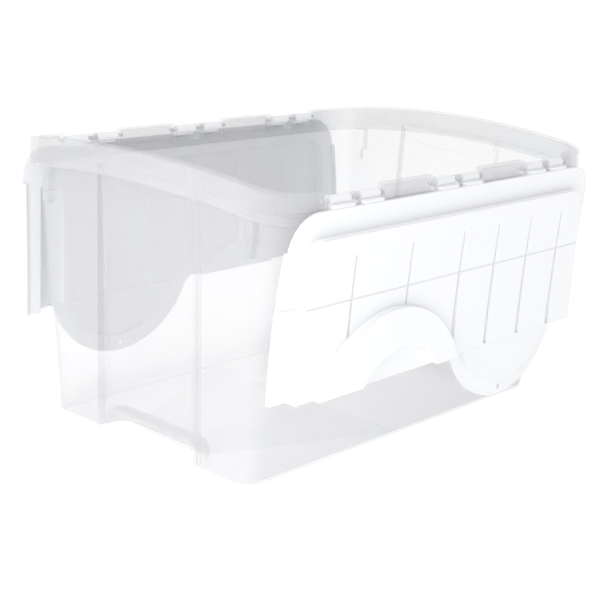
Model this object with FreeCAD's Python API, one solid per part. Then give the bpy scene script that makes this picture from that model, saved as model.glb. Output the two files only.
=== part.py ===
import FreeCAD, Part
import math
import os

from FreeCAD import Vector

# A nesting tote with two hinged lid halves. Millimetres, +Z up.
# Origin: centre of the base, on the plane the tote stands on. X runs along the tote.
# The tote is unchanged by a half turn about Z, so both lid halves come from one mould.

# ---- driving dimensions: rim and crown ----
RIM_LENGTH = 536.0        # outside, across the rim at its square corners
RIM_WIDTH = 395.0         # outside, across the two hinge sides
RIM_BOW = 7.0             # how far each short end bows out at its middle
RIM_CORNER = 48.0         # plan radius of the rim's corners
SIDE_HEIGHT = 300.0       # rim height along the hinge sides
CROWN = 16.0              # how much higher the middle of each short end is
RIM_WALL = 2.6
SKIRT_DEPTH = 30.0        # rim top down to the lower edge of the skirt
RIM_BAR = 10.0            # width of the hollow bar that runs all round the rim

# ---- driving dimensions: body ----
BASE_LENGTH = 500.0
BASE_WIDTH = 300.0
BASE_CORNER = 20.0
BODY_END_INSET = 11.0     # top of the body in from the rim, at the short ends
BODY_SIDE_INSET = 14.0    # and at the hinge sides
BODY_TOP_CORNER = 24.0
BODY_WALL = 2.2
FLOOR_WALL = 2.6
FLOOR_EDGE = 7.0          # rounding between the walls and the floor, outside
LEDGE_DROP = 20.0         # rim top down to the ledge that the lids lie on

# ---- driving dimensions: end panels and base recesses ----
PANEL_WIDTH = 144.0       # the set-back panel in the middle of each short end
PANEL_FOOT_SETBACK = 11.0
PANEL_TOP_SETBACK = 5.0
GRIP_WIDTH = 138.0        # the thick arc-edged apron across the top of the panel
GRIP_THICKNESS = 3.0
GRIP_SIDE_DROP = 33.0     # crowned rim top down to the apron's edge, at its sides
GRIP_SAG = 9.0            # how much lower its edge is in the middle
RECESS_WIDTH = 140.0      # the hollow under each end of the base
RECESS_HEIGHT = 24.0
RECESS_REACH = 24.0       # how far it runs in under the floor from the panel
RECESS_ROUNDING = 14.0

# ---- driving dimensions: nesting stops ----
STOP_OFFSET = 149.0       # from the centre line to each stop
STOP_WIDTH = 17.0
STOP_DROP = 25.0          # below the skirt line
STOP_TAIL_WIDTH = 10.0
STOP_TAIL_DROP = 14.0

# ---- driving dimensions: lids ----
LID_WALL = 2.4
LID_REST_GAP = 0.3        # closed lid above its ledge
LID_EDGE_GAP = 2.0        # closed lid inside the hinge sides of the rim
LID_END_GAP = 2.5         # closed lid inside the short ends of the rim
LID_MEETING_GAP = 0.8     # least gap between the two halves as both swing shut
END_FLANGE = 20.5
HINGE_FLANGE = 26.0
PAN_DEPTH_HINGE = 10.0
PAN_DEPTH_MIDDLE = 14.0
PAN_CORNER = 20.0
END_LIP = 4.0             # upturned lip along the lid's ends
RIBS_PER_SIDE = 3
SOCKET_RIB_START = 4.0    # the ribs on the finger recess's side, and their pitch
SOCKET_RIB_PITCH = -88.0
TAB_RIB_START = 68.0      # the ribs on the finger tab's side, and their pitch
TAB_RIB_PITCH = 63.0
RIB_NARROW = 1.6
RIB_WIDE = 6.5
RIB_LIFT = 4.5            # depth of each groove at the free edge
SEAM_WIDTH = 1.6
SEAM_DEPTH = 0.5
SEAM_FROM_HINGE = 97.0

# ---- driving dimensions: finger tab and finger recess in each lid ----
TAB_CENTRE = 116.0
TAB_RADIUS = 110.0
TAB_REACH = 68.0
TAB_BAND = 17.0
TAB_BAND_SINK = 5.0       # below the top of the lid's flange
TAB_STEP = 5.0
SOCKET_SHIFT = 11.0       # the recess's centre is this much nearer the middle
SOCKET_SPREAD = 12.0      # added to the tab's radius
SOCKET_OVER = 8.0         # added to the tab's reach
SOCKET_SINK = 8.0         # below the pan
SOCKET_CORE_SHIFT = 15.0  # the raised core, nearer the middle again
SOCKET_CORE_REACH = 35.0
SOCKET_CORE_WIDTH = 130.0
SOCKET_CORE_RISE = 7.0
TIE_HOLE_RADIUS = 2.6

# ---- driving dimensions: hinges ----
HINGE_PER_SIDE = 3
HINGE_PITCH = 166.0
NOTCH_WIDTH = 84.0
NOTCH_DEPTH = 16.0
KNUCKLE_WIDTH = 28.5
KNUCKLE_RADIUS = 5.0
KNUCKLE_SIDE_GAP = 0.8    # between each knuckle and the lug
ARM_THICKNESS = 4.5       # arms that join the knuckles to the lid
HINGE_INSET = 5.5         # hinge axis in from the outside of the rim
HINGE_DROP = 7.5          # hinge axis below the rim top at the hinge sides
LUG_WIDTH = 13.5
NOTCH_CHEEK = 3.0
PIN_RADIUS = 2.0
PIN_FIT = 0.05            # radial, pin in the tub
KNUCKLE_FIT = 0.09        # radial, knuckle on the pin
PIN_END = 1.2             # pin past the outside of each cheek
HANG_ANGLE = 270.0        # from closed to hanging

# ---- values that follow ----
HALF_X = RIM_LENGTH / 2
HALF_Y = RIM_WIDTH / 2
CREST = SIDE_HEIGHT + CROWN
CROWN_RADIUS = (HALF_Y ** 2 + CROWN ** 2) / (2 * CROWN)
HINGE_Y = HALF_Y - HINGE_INSET
HINGE_Z = SIDE_HEIGHT - HINGE_DROP
BAR_INNER_Y = HALF_Y - RIM_BAR
BODY_TOP_LENGTH = RIM_LENGTH - 2 * BODY_END_INSET
BODY_TOP_WIDTH = RIM_WIDTH - 2 * BODY_SIDE_INSET
FLANGE_LEVEL = LEDGE_DROP - LID_REST_GAP - LID_WALL
WELL_FOOT = CREST - FLANGE_LEVEL - PAN_DEPTH_MIDDLE - SOCKET_SINK - LID_WALL
SWING_OVER = math.hypot(HINGE_Y, HINGE_Z - WELL_FOOT) - HINGE_Y
FREE_EDGE = -LID_MEETING_GAP / 2 - SWING_OVER
FAR = 2 * RIM_LENGTH
LOW = -50.0
HIGH = CREST + 50.0
EASE = 1.0                # overshoot of cutting tools


def arc(a, b, c):
    """Edge along the circle through three points."""
    return Part.Arc(a, b, c).toShape()


def line(a, b):
    return Part.LineSegment(a, b).toShape()


def corner_points(half_x, half_y, radius, bow):
    """Where a corner arc starts, its middle and its end, in the +X +Y quarter."""
    if bow > 0:
        end_radius = (half_y ** 2 + bow ** 2) / (2 * bow)
        end_centre = Vector(half_x + bow - end_radius, 0, 0)
        across = half_y - radius
        along = math.sqrt((end_radius - radius) ** 2 - across ** 2)
        centre = Vector(end_centre.x + along, across, 0)
        to_end = (centre - end_centre).normalize()
        on_end = end_centre + to_end * end_radius
    else:
        centre = Vector(half_x - radius, half_y - radius, 0)
        on_end = Vector(half_x, half_y - radius, 0)
    on_side = Vector(centre.x, half_y, 0)
    outward = (on_end + on_side) * 0.5 - centre
    middle = centre + outward.normalize() * radius
    return on_end, middle, on_side


def plan_wire(half_x, half_y, radius, bow, z):
    """Rounded rectangle whose short ends bow out, as a wire at height z."""
    on_end, middle, on_side = corner_points(half_x, half_y, radius, bow)

    def place(point, sign_x, sign_y):
        return Vector(sign_x * point.x, sign_y * point.y, z)

    edges = []
    for sign_x, sign_y in ((1, 1), (-1, 1), (-1, -1), (1, -1)):
        points = [place(p, sign_x, sign_y) for p in (on_end, middle, on_side)]
        if sign_x * sign_y < 0:
            points.reverse()
        edges.append(arc(*points))
        if sign_x * sign_y > 0:
            edges.append(line(points[2], place(on_side, -sign_x, sign_y)))
        elif bow > 0:
            crest = Vector(sign_x * (half_x + bow), 0, z)
            edges.append(arc(points[2], crest, place(on_end, sign_x, -sign_y)))
        else:
            edges.append(line(points[2], place(on_end, sign_x, -sign_y)))
    return Part.Wire(edges)


def prism(wire, low, high):
    """Upright solid over a plan wire, from height low to height high."""
    shape = Part.Face(wire).extrude(Vector(0, 0, high - low))
    shape.translate(Vector(0, 0, low - wire.BoundBox.ZMin))
    return shape


def block(x0, x1, y0, y1, z0, z1):
    return Part.makeBox(x1 - x0, y1 - y0, z1 - z0, Vector(x0, y0, z0))


def under_crown(drop, crest=CREST, radius=CROWN_RADIUS):
    """Everything below the crowned surface that lies drop below the crest."""
    rod_radius = radius - drop
    start = Vector(-FAR / 2, 0, crest - radius)
    return Part.makeCylinder(rod_radius, FAR, start, Vector(1, 0, 0))


def crown_layer(wire, top_drop, bottom_drop):
    """The layer between two drops below the crown, over a plan wire."""
    column = prism(wire, SIDE_HEIGHT / 2, HIGH)
    return column.common(under_crown(top_drop)).cut(under_crown(bottom_drop))


def crown_height(y):
    """Height of the rim's crowned top at distance y from the middle."""
    return CREST - CROWN_RADIUS + math.sqrt(CROWN_RADIUS ** 2 - y ** 2)


def half_turn(shape):
    turned = shape.copy()
    turned.rotate(Vector(0, 0, 0), Vector(0, 0, 1), 180)
    return turned


def both_ends(shape):
    return [shape, half_turn(shape)]


def hinge_places():
    """X of each hinge along one side."""
    middle = (HINGE_PER_SIDE - 1) / 2
    return [(i - middle) * HINGE_PITCH for i in range(HINGE_PER_SIDE)]


# ---- tub ----

def body_loft(inset, z0, z1):
    """The drafted body, inset from its outside, between two heights."""
    top = SIDE_HEIGHT - LEDGE_DROP

    def section(z):
        share = z / top
        half_x = (BASE_LENGTH + share * (BODY_TOP_LENGTH - BASE_LENGTH)) / 2 - inset
        half_y = (BASE_WIDTH + share * (BODY_TOP_WIDTH - BASE_WIDTH)) / 2 - inset
        radius = BASE_CORNER + share * (BODY_TOP_CORNER - BASE_CORNER) - inset
        return plan_wire(half_x, half_y, radius, 0, z)

    return Part.makeLoft([section(z0), section(z1)], True, True)


def panel_face_x(z):
    """X of the +X end panel's outside at height z."""
    foot = BASE_LENGTH / 2 - PANEL_FOOT_SETBACK
    top = BODY_TOP_LENGTH / 2 - PANEL_TOP_SETBACK
    return foot + (top - foot) * z / (SIDE_HEIGHT - LEDGE_DROP)


def panel_cutter(inset):
    """Takes the middle of the +X end back to the panel's plane."""
    half = PANEL_WIDTH / 2 + inset
    points = [
        Vector(panel_face_x(LOW) - inset, -half, LOW),
        Vector(FAR / 2, -half, LOW),
        Vector(FAR / 2, -half, HIGH),
        Vector(panel_face_x(HIGH) - inset, -half, HIGH),
    ]
    face = Part.Face(Part.makePolygon(points + points[:1]))
    return face.extrude(Vector(0, 2 * half, 0))


def recess_cutter(inset):
    """The hollow under the +X end of the base: rounded, open to the end and below."""
    half = RECESS_WIDTH / 2 + inset
    inner = panel_face_x(0) - RECESS_REACH - inset
    hollow = block(inner, BASE_LENGTH, -half, half, LOW, RECESS_HEIGHT + inset)
    rounded = [e for e in hollow.Edges if recess_edge(e, inner, half)]
    return hollow.makeFillet(RECESS_ROUNDING + inset, rounded)


def recess_edge(edge, inner, half):
    """True for the top edges and the two upright inner edges of the recess."""
    middle = edge.BoundBox.Center
    upright = edge.BoundBox.ZLength > EASE
    at_inner = abs(middle.x - inner) < EASE
    at_side = abs(abs(middle.y) - half) < EASE
    on_top = middle.z > 0 and not upright
    return (upright and at_inner) or (on_top and (at_inner or at_side))


def floor_rounding(shape, radius):
    """Rounds the edges at the foot of a drafted solid."""
    low = shape.BoundBox.ZMin
    edges = [e for e in shape.Edges if e.BoundBox.ZMax < low + EASE / 10]
    return shape.makeFillet(radius, edges)


def body_space(inset, z0, z1, rounding):
    """Body solid with its end panels and base recesses taken out."""
    shape = floor_rounding(body_loft(inset, z0, z1), rounding)
    cutters = both_ends(panel_cutter(inset)) + both_ends(recess_cutter(inset))
    return shape.cut(cutters)


def tub_opening():
    """The space inside the tub, drawn up past the rim."""
    return body_space(BODY_WALL, FLOOR_WALL, CREST + EASE, FLOOR_EDGE - BODY_WALL)


def tub_body(opening):
    outside = body_space(0, 0, CREST, FLOOR_EDGE)
    return outside.cut(opening).common(under_crown(LEDGE_DROP))


def rim_plan(inset):
    return plan_wire(HALF_X - inset, HALF_Y - inset, RIM_CORNER - inset, RIM_BOW, 0)


def rim_ring(outer, inner, top_drop, bottom_drop):
    """Ring between two insets of the rim's plan, between two drops."""
    ring = crown_layer(rim_plan(outer), top_drop, bottom_drop)
    return ring.cut(prism(rim_plan(inner), 0, HIGH))


def rim():
    """Hollow bar all round, open below: skirt, top and inner wall."""
    skirt = rim_ring(0, RIM_WALL, 0, SKIRT_DEPTH)
    top = rim_ring(RIM_WALL / 2, RIM_BAR, 0, RIM_WALL)
    inner_wall = rim_ring(RIM_BAR - RIM_WALL, RIM_BAR, RIM_WALL / 2, LEDGE_DROP + RIM_WALL)
    return skirt.fuse([top, inner_wall])


def ledge(opening):
    """Crowned shelf from the body out to the rim's inner wall."""
    shelf = crown_layer(rim_plan(RIM_BAR - RIM_WALL / 2), LEDGE_DROP, LEDGE_DROP + RIM_WALL)
    return shelf.cut(opening)


def notch_cheeks(x):
    """Two walls across the hollow bar that close it off beside one notch."""
    low = SIDE_HEIGHT - LEDGE_DROP - RIM_WALL
    cheeks = []
    for sign in (-1, 1):
        start = x + sign * NOTCH_WIDTH / 2
        end = start + sign * NOTCH_CHEEK
        near, far = sorted((start, end))
        cheek = block(near, far, -HALF_Y + RIM_WALL / 2, -BAR_INNER_Y - RIM_WALL / 2,
                      low, SIDE_HEIGHT - RIM_WALL / 2)
        cheeks.append(cheek)
    return cheeks


def notch_cutter(x):
    """Clears one notch: the bar's top and inner wall, and the top of the skirt."""
    half = NOTCH_WIDTH / 2
    floor = SIDE_HEIGHT - NOTCH_DEPTH
    shelf = crown_height(BAR_INNER_Y - EASE) - LEDGE_DROP
    over = block(x - half, x + half, -HALF_Y - EASE, -BAR_INNER_Y + EASE, floor, HIGH)
    inner = block(x - half, x + half, -HALF_Y + RIM_WALL, -BAR_INNER_Y + EASE, shelf, HIGH)
    return over.fuse(inner)


def hinge_lug(x):
    """Middle lug of one notch: a rounded plate that holds the middle of the pin."""
    half = LUG_WIDTH / 2
    low = SIDE_HEIGHT - LEDGE_DROP - RIM_WALL
    plate = block(x - half, x + half, -HALF_Y + EASE, -BAR_INNER_Y, low, HINGE_Z)
    boss = Part.makeCylinder(KNUCKLE_RADIUS, LUG_WIDTH, Vector(x - half, -HINGE_Y, HINGE_Z), Vector(1, 0, 0))
    return plate.fuse(boss)


def pin_bore(x):
    """Hole for one hinge pin through both cheeks and the lug."""
    reach = NOTCH_WIDTH / 2 + NOTCH_CHEEK + EASE
    start = Vector(x - reach, -HINGE_Y, HINGE_Z)
    return Part.makeCylinder(PIN_RADIUS + PIN_FIT, 2 * reach, start, Vector(1, 0, 0))


def end_grip(opening):
    """Thick apron across the top of the +X end panel, with an arc-shaped lower edge."""
    half = GRIP_WIDTH / 2
    side_z = crown_height(half) - GRIP_SIDE_DROP
    top_z = crown_height(half) - LEDGE_DROP - RIM_WALL / 2
    x = panel_face_x(side_z) - BODY_WALL / 2
    drop = arc(Vector(x, -half, side_z), Vector(x, 0, side_z - GRIP_SAG), Vector(x, half, side_z))
    corners = [Vector(x, half, side_z), Vector(x, half, top_z),
               Vector(x, -half, top_z), Vector(x, -half, side_z)]
    edges = [line(corners[i], corners[i + 1]) for i in range(len(corners) - 1)]
    slab = Part.Face(Part.Wire([drop] + edges))
    slab = slab.extrude(Vector(GRIP_THICKNESS + BODY_WALL / 2, 0, 0))
    return slab.cut(opening)


def nesting_stop(sign):
    """Stepped stop under the rim, on the +X end beside one corner."""
    top = crown_height(STOP_OFFSET) - SKIRT_DEPTH
    inner = BASE_LENGTH / 2
    outer = HALF_X - RIM_WALL
    y = sign * STOP_OFFSET
    wide = block(inner, outer, y - STOP_WIDTH / 2, y + STOP_WIDTH / 2, top - STOP_DROP, top + EASE)
    tail = block(inner, outer - RIM_WALL, y - STOP_TAIL_WIDTH / 2, y + STOP_TAIL_WIDTH / 2,
                 top - STOP_DROP - STOP_TAIL_DROP, top)
    return wide.fuse(tail).cut(body_loft(BODY_WALL / 2, 0, CREST))


def make_tub():
    opening = tub_opening()
    tub = tub_body(opening).fuse([rim(), ledge(opening)])
    for x in hinge_places():
        for cheek in notch_cheeks(x):
            tub = tub.fuse(both_ends(cheek))
        tub = tub.cut(both_ends(notch_cutter(x)))
        tub = tub.fuse(both_ends(hinge_lug(x)))
        tub = tub.cut(both_ends(pin_bore(x)))
    tub = tub.fuse(both_ends(end_grip(opening)))
    for sign in (-1, 1):
        tub = tub.fuse(both_ends(nesting_stop(sign)))
    return tub.removeSplitter()


# ---- lids: the half hinged on the -Y side, drawn closed ----

def lid_plan(inset, free_edge=FREE_EDGE):
    """Plan of one lid half, inset from its outer edge and cut off at free_edge."""
    half_x = HALF_X - RIM_BAR - LID_END_GAP - inset
    half_y = BAR_INNER_Y - LID_EDGE_GAP - inset
    radius = RIM_CORNER - RIM_BAR - LID_EDGE_GAP - inset
    outline = plan_wire(half_x, half_y, radius, RIM_BOW, 0)
    whole = prism(outline, LOW, HIGH)
    return whole.common(block(-FAR, FAR, -FAR, free_edge, LOW, HIGH))


def pan_plan(inset):
    """Plan of the sunk pan, open at the free edge."""
    half_x = HALF_X - RIM_BAR - LID_END_GAP - END_FLANGE - inset
    half_y = BAR_INNER_Y - LID_EDGE_GAP - HINGE_FLANGE - inset
    outline = plan_wire(half_x, half_y, PAN_CORNER - inset, RIM_BOW, 0)
    return prism(outline, LOW, HIGH)


def pan_surface(drop, lift=0):
    """Everything below the pan's floor, drop below its top; lift raises its free edge."""
    crest = CREST - FLANGE_LEVEL - PAN_DEPTH_MIDDLE + lift
    reach = BAR_INNER_Y - LID_EDGE_GAP - HINGE_FLANGE
    fall = CREST - crown_height(reach) - (PAN_DEPTH_MIDDLE - PAN_DEPTH_HINGE) + lift
    radius = (reach ** 2 + fall ** 2) / (2 * fall)
    return under_crown(drop, crest, radius)


def disc(centre_x, radius, reach, sign):
    """Upright rod whose far side is at reach from the middle line."""
    return Part.makeCylinder(radius, HIGH - LOW, Vector(centre_x, sign * (reach - radius), LOW))


def chord_radius(width, reach):
    return (width ** 2 / 4 + reach ** 2) / (2 * reach)


def lid_pan():
    """Flange, pan walls and pan floor."""
    plan = lid_plan(0)
    sheet = plan.common(under_crown(FLANGE_LEVEL)).cut(under_crown(FLANGE_LEVEL + LID_WALL))
    inside_edge = block(-FAR, FAR, -FAR, FREE_EDGE, LOW, HIGH)
    tray = pan_plan(0).common(inside_edge)
    tray = tray.common(under_crown(FLANGE_LEVEL)).cut(pan_surface(LID_WALL))
    hollow = pan_plan(LID_WALL).cut(pan_surface(0))
    return sheet.fuse(tray).cut(hollow)


def lid_socket():
    """Finger recess sunk below the pan: what is added, and what is taken out."""
    x = -(TAB_CENTRE - SOCKET_SHIFT)
    radius = TAB_RADIUS + SOCKET_SPREAD
    reach = TAB_REACH + SOCKET_OVER
    inside_edge = block(-FAR, FAR, -FAR, FREE_EDGE, LOW, HIGH)
    outer = disc(x, radius, reach, -1)
    inner = disc(x, radius - LID_WALL, reach - LID_WALL, -1)
    core_x = x + SOCKET_CORE_SHIFT
    core_radius = chord_radius(SOCKET_CORE_WIDTH, SOCKET_CORE_REACH)
    core = disc(core_x, core_radius, SOCKET_CORE_REACH, -1)
    core_inner = disc(core_x, core_radius - LID_WALL, SOCKET_CORE_REACH - LID_WALL, -1)
    well = outer.common(inside_edge).common(pan_surface(EASE)).cut(pan_surface(SOCKET_SINK + LID_WALL))
    hollow = inner.cut(pan_surface(SOCKET_SINK)).cut(core)
    step = SOCKET_SINK - SOCKET_CORE_RISE
    over_core = core.cut(pan_surface(step))
    under_core = core_inner.common(pan_surface(step + LID_WALL))
    return well, [hollow, over_core, under_core]


def lid_tab():
    """Finger tab that reaches past the middle line and lies over the other lid."""
    beyond = block(-FAR, FAR, FREE_EDGE - LID_WALL, FAR, LOW, HIGH)
    past_edge = block(-FAR, FAR, FREE_EDGE, FAR, LOW, HIGH)
    outer = disc(TAB_CENTRE, TAB_RADIUS, TAB_REACH, 1)
    core = disc(TAB_CENTRE, TAB_RADIUS - TAB_BAND, TAB_REACH - TAB_BAND, 1)
    core_edge = TAB_BAND + LID_WALL
    core_inner = disc(TAB_CENTRE, TAB_RADIUS - core_edge, TAB_REACH - core_edge, 1)
    band_top = FLANGE_LEVEL + TAB_BAND_SINK
    core_top = band_top + TAB_STEP
    band = outer.common(past_edge).common(under_crown(band_top)).cut(under_crown(band_top + LID_WALL))
    cup = core.common(past_edge).common(under_crown(band_top)).cut(under_crown(core_top + LID_WALL))
    hollow = core_inner.common(past_edge).cut(under_crown(core_top))
    root = outer.common(beyond).cut(past_edge)
    root = root.common(under_crown(band_top)).cut(pan_surface(LID_WALL))
    root_hollow = core_inner.common(beyond).cut(under_crown(core_top))
    hole_reach = TAB_REACH - TAB_BAND / 2
    hole = Part.makeCylinder(TIE_HOLE_RADIUS, HIGH - LOW, Vector(TAB_CENTRE, hole_reach, LOW))
    return band.fuse([cup, root]), [hollow, root_hollow, hole]


def rib_places():
    """X of every rib of one lid."""
    socket_side = [SOCKET_RIB_START + i * SOCKET_RIB_PITCH for i in range(RIBS_PER_SIDE)]
    tab_side = [TAB_RIB_START + i * TAB_RIB_PITCH for i in range(RIBS_PER_SIDE)]
    return socket_side + tab_side


def rib_column(x, extra):
    """Upright wedge over one rib, narrow at the hinge flange and wide at the free edge."""
    start = -(BAR_INNER_Y - LID_EDGE_GAP - HINGE_FLANGE) + PAN_CORNER - extra
    narrow = RIB_NARROW / 2 + extra
    wide = RIB_WIDE / 2 + extra
    points = [Vector(x - narrow, start, 0), Vector(x + narrow, start, 0),
              Vector(x + wide, FREE_EDGE, 0), Vector(x - wide, FREE_EDGE, 0)]
    return prism(Part.makePolygon(points + points[:1]), LOW, HIGH)


def lid_ribs():
    """Grooves under the pan that deepen to the free edge, and the ridges that back them."""
    grooves = []
    ridges = []
    for x in rib_places():
        grooves.append(rib_column(x, 0).common(pan_surface(LID_WALL, RIB_LIFT)))
        ridge = rib_column(x, LID_WALL).common(pan_surface(0, RIB_LIFT))
        ridges.append(ridge.cut(pan_surface(EASE)))
    return ridges, grooves


def lid_seam():
    """Fine groove across the underside, flange and pan."""
    y = -HINGE_Y + SEAM_FROM_HINGE
    strip = block(-FAR, FAR, y - SEAM_WIDTH / 2, y + SEAM_WIDTH / 2, LOW, HIGH)
    pan = pan_plan(LID_WALL)
    on_pan = strip.common(pan).common(pan_surface(LID_WALL - SEAM_DEPTH))
    on_flange = strip.cut(pan_plan(-EASE)).common(under_crown(FLANGE_LEVEL + LID_WALL - SEAM_DEPTH))
    return [on_pan, on_flange]


def lid_lips():
    """Upturned lips along the two ends of the lid."""
    start = -(HALF_Y - RIM_CORNER)
    band = lid_plan(0).cut(lid_plan(LID_WALL, FAR))
    band = band.common(block(-FAR, FAR, start, FREE_EDGE, LOW, HIGH))
    return band.common(under_crown(FLANGE_LEVEL - END_LIP)).cut(under_crown(FLANGE_LEVEL + EASE))


def lid_knuckles():
    """Two knuckles in each notch, on arms that rise from the hinge flange."""
    arm_inner = -(BAR_INNER_Y - LID_EDGE_GAP) + EASE
    arm_outer = arm_inner - ARM_THICKNESS
    foot = crown_height(-arm_inner) - FLANGE_LEVEL - LID_WALL
    offset = LUG_WIDTH / 2 + KNUCKLE_SIDE_GAP + KNUCKLE_WIDTH / 2
    solids = []
    bores = []
    for x in hinge_places():
        for sign in (-1, 1):
            low_x = x + sign * offset - KNUCKLE_WIDTH / 2
            start = Vector(low_x, -HINGE_Y, HINGE_Z)
            barrel = Part.makeCylinder(KNUCKLE_RADIUS, KNUCKLE_WIDTH, start, Vector(1, 0, 0))
            arm = block(low_x, low_x + KNUCKLE_WIDTH, arm_outer, arm_inner, foot, HINGE_Z)
            solids.append(barrel.fuse(arm))
            bores.append(Part.makeCylinder(PIN_RADIUS + KNUCKLE_FIT, KNUCKLE_WIDTH, start, Vector(1, 0, 0)))
    return solids, bores


def closed_lid():
    lid = lid_pan()
    well, well_hollows = lid_socket()
    tab, tab_hollows = lid_tab()
    ridges, grooves = lid_ribs()
    knuckles, bores = lid_knuckles()
    lid = lid.fuse(ridges)
    lid = lid.cut(grooves)
    lid = lid.fuse(well)
    lid = lid.cut(well_hollows)
    lid = lid.fuse(tab)
    lid = lid.cut(tab_hollows)
    lid = lid.fuse(lid_lips())
    lid = lid.cut(lid_seam())
    lid = lid.fuse(knuckles)
    lid = lid.cut(bores)
    return lid.removeSplitter()


def hanging_lid():
    """The -Y lid half, swung open until it hangs beside the tub."""
    lid = closed_lid()
    lid.rotate(Vector(0, -HINGE_Y, HINGE_Z), Vector(1, 0, 0), HANG_ANGLE)
    return lid


# ---- hinge pins ----

def hinge_pin(x):
    """One plain pin, rounded at its ends, on the -Y side."""
    reach = NOTCH_WIDTH / 2 + NOTCH_CHEEK + PIN_END
    pin = Part.makeCylinder(PIN_RADIUS, 2 * reach, Vector(x - reach, -HINGE_Y, HINGE_Z), Vector(1, 0, 0))
    rounds = [e for e in pin.Edges if e.Curve.TypeId == "Part::GeomCircle"]
    return pin.makeChamfer(PIN_RADIUS / 4, rounds)


def write(name, shape):
    if not shape.isValid():
        print("not valid:", name)
    print(name, "solids", len(shape.Solids), "volume", round(shape.Volume))
    shape.exportStep("parts/" + name + ".step")


def main():
    os.makedirs("parts", exist_ok=True)
    write("tub", make_tub())
    front = hanging_lid()
    write("lid_front", front)
    write("lid_rear", half_turn(front))
    for number, x in enumerate(hinge_places(), 1):
        pin = hinge_pin(x)
        write("hinge_pin_front_%d" % number, pin)
        write("hinge_pin_rear_%d" % number, half_turn(pin))


main()
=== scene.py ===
import bmesh
import bpy
from mathutils import Matrix, Vector

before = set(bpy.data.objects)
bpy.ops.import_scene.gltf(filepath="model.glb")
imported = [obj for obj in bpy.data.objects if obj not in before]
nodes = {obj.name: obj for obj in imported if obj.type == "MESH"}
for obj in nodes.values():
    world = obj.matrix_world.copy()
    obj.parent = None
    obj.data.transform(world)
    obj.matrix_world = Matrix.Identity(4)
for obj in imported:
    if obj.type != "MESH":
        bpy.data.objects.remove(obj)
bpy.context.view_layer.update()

# ---- Tub ----
# One injection moulding in clear polypropylene: drafted walls, a hollow bar round the rim with
# a skirt, set-back end panels and nesting stops. It has a faint flow and haze, and looks denser
# where the view grazes it, as at the rim and the corners.

CLEAR_TONE = (0.72, 0.77, 0.80, 1.0)
CLEAR_FLOW_TONE = (0.84, 0.79, 0.80, 1.0)
CLEAR_DENSITY = 0.14
CLEAR_HAZE = 0.06
CLEAR_HAZE_SCALE = 14.0
CLEAR_EDGE_BLEND = 0.35
CLEAR_EDGE_DENSITY = 0.30
CLEAR_FLOW_SIZE = 0.12
CLEAR_GRAIN_SIZE = 0.0016
CLEAR_GRAIN_HEIGHT = 0.00002
CLEAR_ROUGHNESS = 0.16
CLEAR_ROUGHNESS_SPREAD = 0.10
FLOW_DETAIL = 3.0
GRAIN_DETAIL = 2.0
GRAIN_BREAKUP = 0.6
HAZE_DETAIL = 4.0
GRAIN_STRENGTH = 0.6
EDGE_SAMPLES = 6


def new_group(name, inputs, outputs):
    """Empty shader node group with named sockets."""
    group = bpy.data.node_groups.new(name, "ShaderNodeTree")
    for label, kind, value in inputs:
        socket = group.interface.new_socket(label, in_out="INPUT", socket_type=kind)
        socket.default_value = value
    for label, kind in outputs:
        group.interface.new_socket(label, in_out="OUTPUT", socket_type=kind)
    return group


def noise(tree, coords, scale, detail, roughness=0.5):
    """Noise texture on these coordinates; returns its value output."""
    node = tree.nodes.new("ShaderNodeTexNoise")
    node.inputs["Scale"].default_value = scale
    node.inputs["Detail"].default_value = detail
    node.inputs["Roughness"].default_value = roughness
    tree.links.new(coords, node.inputs["Vector"])
    return node.outputs["Fac"]


def math_node(tree, operation, a, b):
    """One operation on two numbers or sockets; returns its output."""
    node = tree.nodes.new("ShaderNodeMath")
    node.operation = operation
    for socket, value in zip(node.inputs, (a, b)):
        if isinstance(value, (int, float)):
            socket.default_value = value
        else:
            tree.links.new(value, socket)
    return node.outputs[0]


def moulded_group():
    """Moulded plastic: slow flow marks in the colour, and a fine spark grain in the surface."""
    group = new_group(
        "moulded_plastic",
        [("Tone", "NodeSocketColor", (1, 1, 1, 1)), ("Flow Tone", "NodeSocketColor", (1, 1, 1, 1)),
         ("Flow Size", "NodeSocketFloat", 0.1), ("Grain Size", "NodeSocketFloat", 0.001),
         ("Roughness", "NodeSocketFloat", 0.3), ("Roughness Spread", "NodeSocketFloat", 0.1)],
        [("Color", "NodeSocketColor"), ("Roughness", "NodeSocketFloat"), ("Height", "NodeSocketFloat")])
    start = group.nodes.new("NodeGroupInput").outputs
    end = group.nodes.new("NodeGroupOutput").inputs
    coords = group.nodes.new("ShaderNodeTexCoord").outputs["Object"]
    flow = noise(group, coords, 1.0, FLOW_DETAIL)
    flow_scale = math_node(group, "DIVIDE", 1.0, start["Flow Size"])
    group.links.new(flow_scale, flow.node.inputs["Scale"])
    grain = noise(group, coords, 1.0, GRAIN_DETAIL, GRAIN_BREAKUP)
    grain_scale = math_node(group, "DIVIDE", 1.0, start["Grain Size"])
    group.links.new(grain_scale, grain.node.inputs["Scale"])
    mix = group.nodes.new("ShaderNodeMix")
    mix.data_type = "RGBA"
    colour_a = [s for s in mix.inputs if s.name == "A" and s.type == "RGBA"][0]
    colour_b = [s for s in mix.inputs if s.name == "B" and s.type == "RGBA"][0]
    group.links.new(flow, mix.inputs["Factor"])
    group.links.new(start["Tone"], colour_a)
    group.links.new(start["Flow Tone"], colour_b)
    mixed = [s for s in mix.outputs if s.type == "RGBA"][0]
    group.links.new(mixed, end["Color"])
    centred = math_node(group, "SUBTRACT", flow, 0.5)
    spread = math_node(group, "MULTIPLY", centred, start["Roughness Spread"])
    group.links.new(math_node(group, "ADD", spread, start["Roughness"]), end["Roughness"])
    group.links.new(grain, end["Height"])
    return group


moulded = moulded_group()


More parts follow.
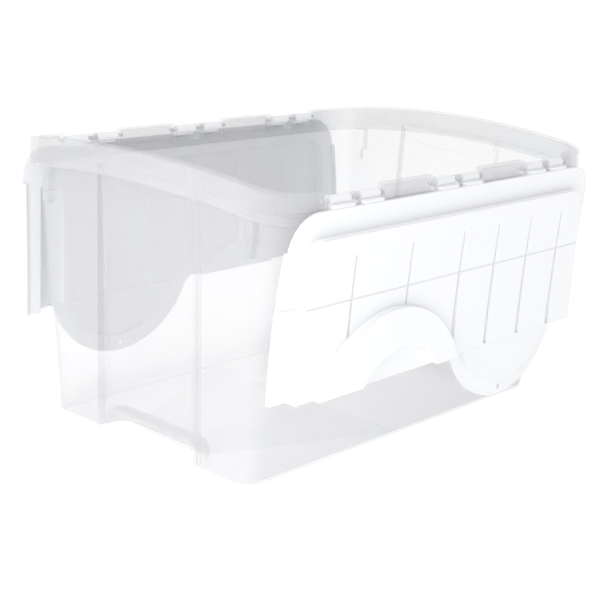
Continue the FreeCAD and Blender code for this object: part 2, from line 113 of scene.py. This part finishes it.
def moulded_material(name, tone, flow_tone, flow_size, grain_size, grain_height, roughness, spread,
                     edge_round=0.0):
    """Principled plastic fed by the moulded group; returns the material and its shader."""
    material = bpy.data.materials.new(name)
    material.use_nodes = True
    tree = material.node_tree
    shader = tree.nodes["Principled BSDF"]
    surface = tree.nodes.new("ShaderNodeGroup")
    surface.node_tree = moulded
    surface.inputs["Tone"].default_value = tone
    surface.inputs["Flow Tone"].default_value = flow_tone
    surface.inputs["Flow Size"].default_value = flow_size
    surface.inputs["Grain Size"].default_value = grain_size
    surface.inputs["Roughness"].default_value = roughness
    surface.inputs["Roughness Spread"].default_value = spread
    bump = tree.nodes.new("ShaderNodeBump")
    bump.inputs["Strength"].default_value = GRAIN_STRENGTH
    bump.inputs["Distance"].default_value = grain_height
    tree.links.new(surface.outputs["Color"], shader.inputs["Base Color"])
    tree.links.new(surface.outputs["Roughness"], shader.inputs["Roughness"])
    tree.links.new(surface.outputs["Height"], bump.inputs["Height"])
    if edge_round:
        rounding = tree.nodes.new("ShaderNodeBevel")
        rounding.samples = EDGE_SAMPLES
        rounding.inputs["Radius"].default_value = edge_round
        tree.links.new(rounding.outputs["Normal"], bump.inputs["Normal"])
    tree.links.new(bump.outputs["Normal"], shader.inputs["Normal"])
    return material, shader


def paint(node_object, material):
    """Puts one material on every slot of a CAD node."""
    slots = node_object.data.materials
    if not slots:
        slots.append(material)
    for i in range(len(slots)):
        slots[i] = material


clear_plastic, clear_shader = moulded_material(
    "clear_polypropylene", CLEAR_TONE, CLEAR_FLOW_TONE, CLEAR_FLOW_SIZE, CLEAR_GRAIN_SIZE,
    CLEAR_GRAIN_HEIGHT, CLEAR_ROUGHNESS, CLEAR_ROUGHNESS_SPREAD)
clear_tree = clear_plastic.node_tree
clear_coords = clear_tree.nodes.new("ShaderNodeTexCoord").outputs["Object"]
haze = noise(clear_tree, clear_coords, CLEAR_HAZE_SCALE, HAZE_DETAIL)
haze_density = math_node(clear_tree, "MULTIPLY", haze, CLEAR_HAZE)
density = math_node(clear_tree, "ADD", haze_density, CLEAR_DENSITY)
edge_view = clear_tree.nodes.new("ShaderNodeLayerWeight")
edge_view.inputs["Blend"].default_value = CLEAR_EDGE_BLEND
edge_density = math_node(clear_tree, "MULTIPLY", edge_view.outputs["Facing"], CLEAR_EDGE_DENSITY)
clear_tree.links.new(math_node(clear_tree, "ADD", density, edge_density), clear_shader.inputs["Alpha"])
paint(nodes["tub"], clear_plastic)

# ---- Hinge pins ----
# Six short rods in natural polypropylene, pushed through the cheeks and lug of each notch.

PIN_TONE = (0.78, 0.80, 0.82, 1)
PIN_FLOW_TONE = (0.70, 0.72, 0.75, 1)
PIN_FLOW_SIZE = 0.02
PIN_GRAIN_SIZE = 0.0008
PIN_GRAIN_HEIGHT = 0.00001
PIN_ROUGHNESS = 0.28
PIN_ROUGHNESS_SPREAD = 0.08
pin_plastic, _ = moulded_material(
    "natural_pin_plastic", PIN_TONE, PIN_FLOW_TONE, PIN_FLOW_SIZE, PIN_GRAIN_SIZE,
    PIN_GRAIN_HEIGHT, PIN_ROUGHNESS, PIN_ROUGHNESS_SPREAD)
for name, node in nodes.items():
    if name.startswith("hinge_pin"):
        paint(node, pin_plastic)

# ---- Lid halves ----
# Two white polypropylene mouldings from one mould, glossy with a very fine grain. Sharp mould
# edges carry a small radius, which the shading rounds. The thin walls scatter light a little, and a
# weak white emission paints extra light on the lids so they read brighter where shade falls.

WHITE_TONE = (0.86, 0.865, 0.88, 1.0)
WHITE_FLOW_TONE = (0.82, 0.83, 0.85, 1.0)
WHITE_FLOW_SIZE = 0.16
WHITE_GRAIN_SIZE = 0.0012
WHITE_GRAIN_HEIGHT = 0.00003
WHITE_ROUGHNESS = 0.30
WHITE_ROUGHNESS_SPREAD = 0.03
WHITE_EDGE_RADIUS = 0.0012
WHITE_SCATTER = 0.08
WHITE_SCATTER_REACH = 0.004
WHITE_PAINTED_GLOW = 0.07
WHITE_COAT = 0.15
WHITE_COAT_ROUGHNESS = 0.12
white_plastic, white_shader = moulded_material(
    "white_polypropylene", WHITE_TONE, WHITE_FLOW_TONE, WHITE_FLOW_SIZE, WHITE_GRAIN_SIZE,
    WHITE_GRAIN_HEIGHT, WHITE_ROUGHNESS, WHITE_ROUGHNESS_SPREAD, WHITE_EDGE_RADIUS)
white_shader.inputs["Subsurface Weight"].default_value = WHITE_SCATTER
white_shader.inputs["Subsurface Radius"].default_value = (WHITE_SCATTER_REACH,) * 3
# Painted light: a weak white emission makes the lids glow though they are no lamp, brightening them in
# shade.
white_shader.inputs["Emission Color"].default_value = (1.0, 1.0, 1.0, 1.0)
white_shader.inputs["Emission Strength"].default_value = WHITE_PAINTED_GLOW
white_shader.inputs["Coat Weight"].default_value = WHITE_COAT
white_shader.inputs["Coat Roughness"].default_value = WHITE_COAT_ROUGHNESS
for name in ("lid_front", "lid_rear"):
    paint(nodes[name], white_plastic)

# ---- Floor, light and camera ----
# A plain white floor that glows enough to meet the white backdrop, a key light from the left, a
# broad weak softbox overhead, and an even white fill from all round.

FLOOR_REACH = 6.0
FLOOR_GLOW = 0.30
FLOOR_ROUGHNESS = 0.9
FLOOR_SHEEN = 0.1
WORLD_FILL = 0.74
floor_mesh = bmesh.new()
bmesh.ops.create_grid(floor_mesh, x_segments=1, y_segments=1, size=FLOOR_REACH)
floor_data = bpy.data.meshes.new("floor")
floor_mesh.to_mesh(floor_data)
floor_mesh.free()
floor = bpy.data.objects.new("floor", floor_data)
bpy.context.collection.objects.link(floor)
floor_paint = bpy.data.materials.new("floor_white")
floor_paint.use_nodes = True
floor_shader = floor_paint.node_tree.nodes["Principled BSDF"]
floor_shader.inputs["Base Color"].default_value = (1.0, 1.0, 1.0, 1)
floor_shader.inputs["Roughness"].default_value = FLOOR_ROUGHNESS
floor_shader.inputs["Specular IOR Level"].default_value = FLOOR_SHEEN
floor_shader.inputs["Emission Color"].default_value = (1, 1, 1, 1)
floor_shader.inputs["Emission Strength"].default_value = FLOOR_GLOW
floor_data.materials.append(floor_paint)

world = bpy.data.worlds.new("studio")
bpy.context.scene.world = world
world.use_nodes = True
sky = world.node_tree
fill = sky.nodes["Background"]
fill.inputs["Color"].default_value = (1, 1, 1, 1)
fill.inputs["Strength"].default_value = WORLD_FILL
backdrop = sky.nodes.new("ShaderNodeBackground")
backdrop.inputs["Color"].default_value = (1, 1, 1, 1)
backdrop.inputs["Strength"].default_value = 1.0
seen = sky.nodes.new("ShaderNodeLightPath").outputs["Is Camera Ray"]
choose = sky.nodes.new("ShaderNodeMixShader")
sky.links.new(seen, choose.inputs["Fac"])
sky.links.new(fill.outputs["Background"], choose.inputs[1])
sky.links.new(backdrop.outputs["Background"], choose.inputs[2])
sky.links.new(choose.outputs["Shader"], sky.nodes["World Output"].inputs["Surface"])
bpy.context.scene.view_settings.view_transform = "Standard"


def softbox(name, place, target, size, energy):
    """Square area light at a place, turned to face a target."""
    light = bpy.data.lights.new(name, "AREA")
    light.shape = "SQUARE"
    light.size = size
    light.energy = energy
    holder = bpy.data.objects.new(name, light)
    aim = (Vector(target) - Vector(place)).to_track_quat("-Z", "Y")
    holder.matrix_world = Matrix.Translation(place) @ aim.to_matrix().to_4x4()
    bpy.context.collection.objects.link(holder)


KEY_PLACE = (-1.25, -0.45, 0.60)
KEY_TARGET = (-0.1, -0.2, 0.2)
KEY_SIZE = 0.4
KEY_ENERGY = 6.0
OVERHEAD_PLACE = (0.1, 0.3, 1.9)
OVERHEAD_TARGET = (0, 0, 0.1)
OVERHEAD_SIZE = 1.2
OVERHEAD_ENERGY = 4
softbox("key_left", KEY_PLACE, KEY_TARGET, KEY_SIZE, KEY_ENERGY)
softbox("overhead", OVERHEAD_PLACE, OVERHEAD_TARGET, OVERHEAD_SIZE, OVERHEAD_ENERGY)

CAMERA_SENSOR = 36.0
CAMERA_LENS = 81.56
CAMERA_PLACE = Vector((-1.14744, -0.99010, 0.54055))
CAMERA_RIGHT = Vector((0.66838568, -0.74167554, 0.05637356))
CAMERA_UP = Vector((0.16345667, 0.22039542, 0.96161727))
camera_data = bpy.data.cameras.new("camera")
camera_data.sensor_width = CAMERA_SENSOR
camera_data.lens = CAMERA_LENS
camera = bpy.data.objects.new("camera", camera_data)
axes = Matrix((CAMERA_RIGHT, CAMERA_UP, CAMERA_RIGHT.cross(CAMERA_UP))).transposed().to_4x4()
camera.matrix_world = Matrix.Translation(CAMERA_PLACE) @ axes
bpy.context.collection.objects.link(camera)
bpy.context.scene.camera = camera
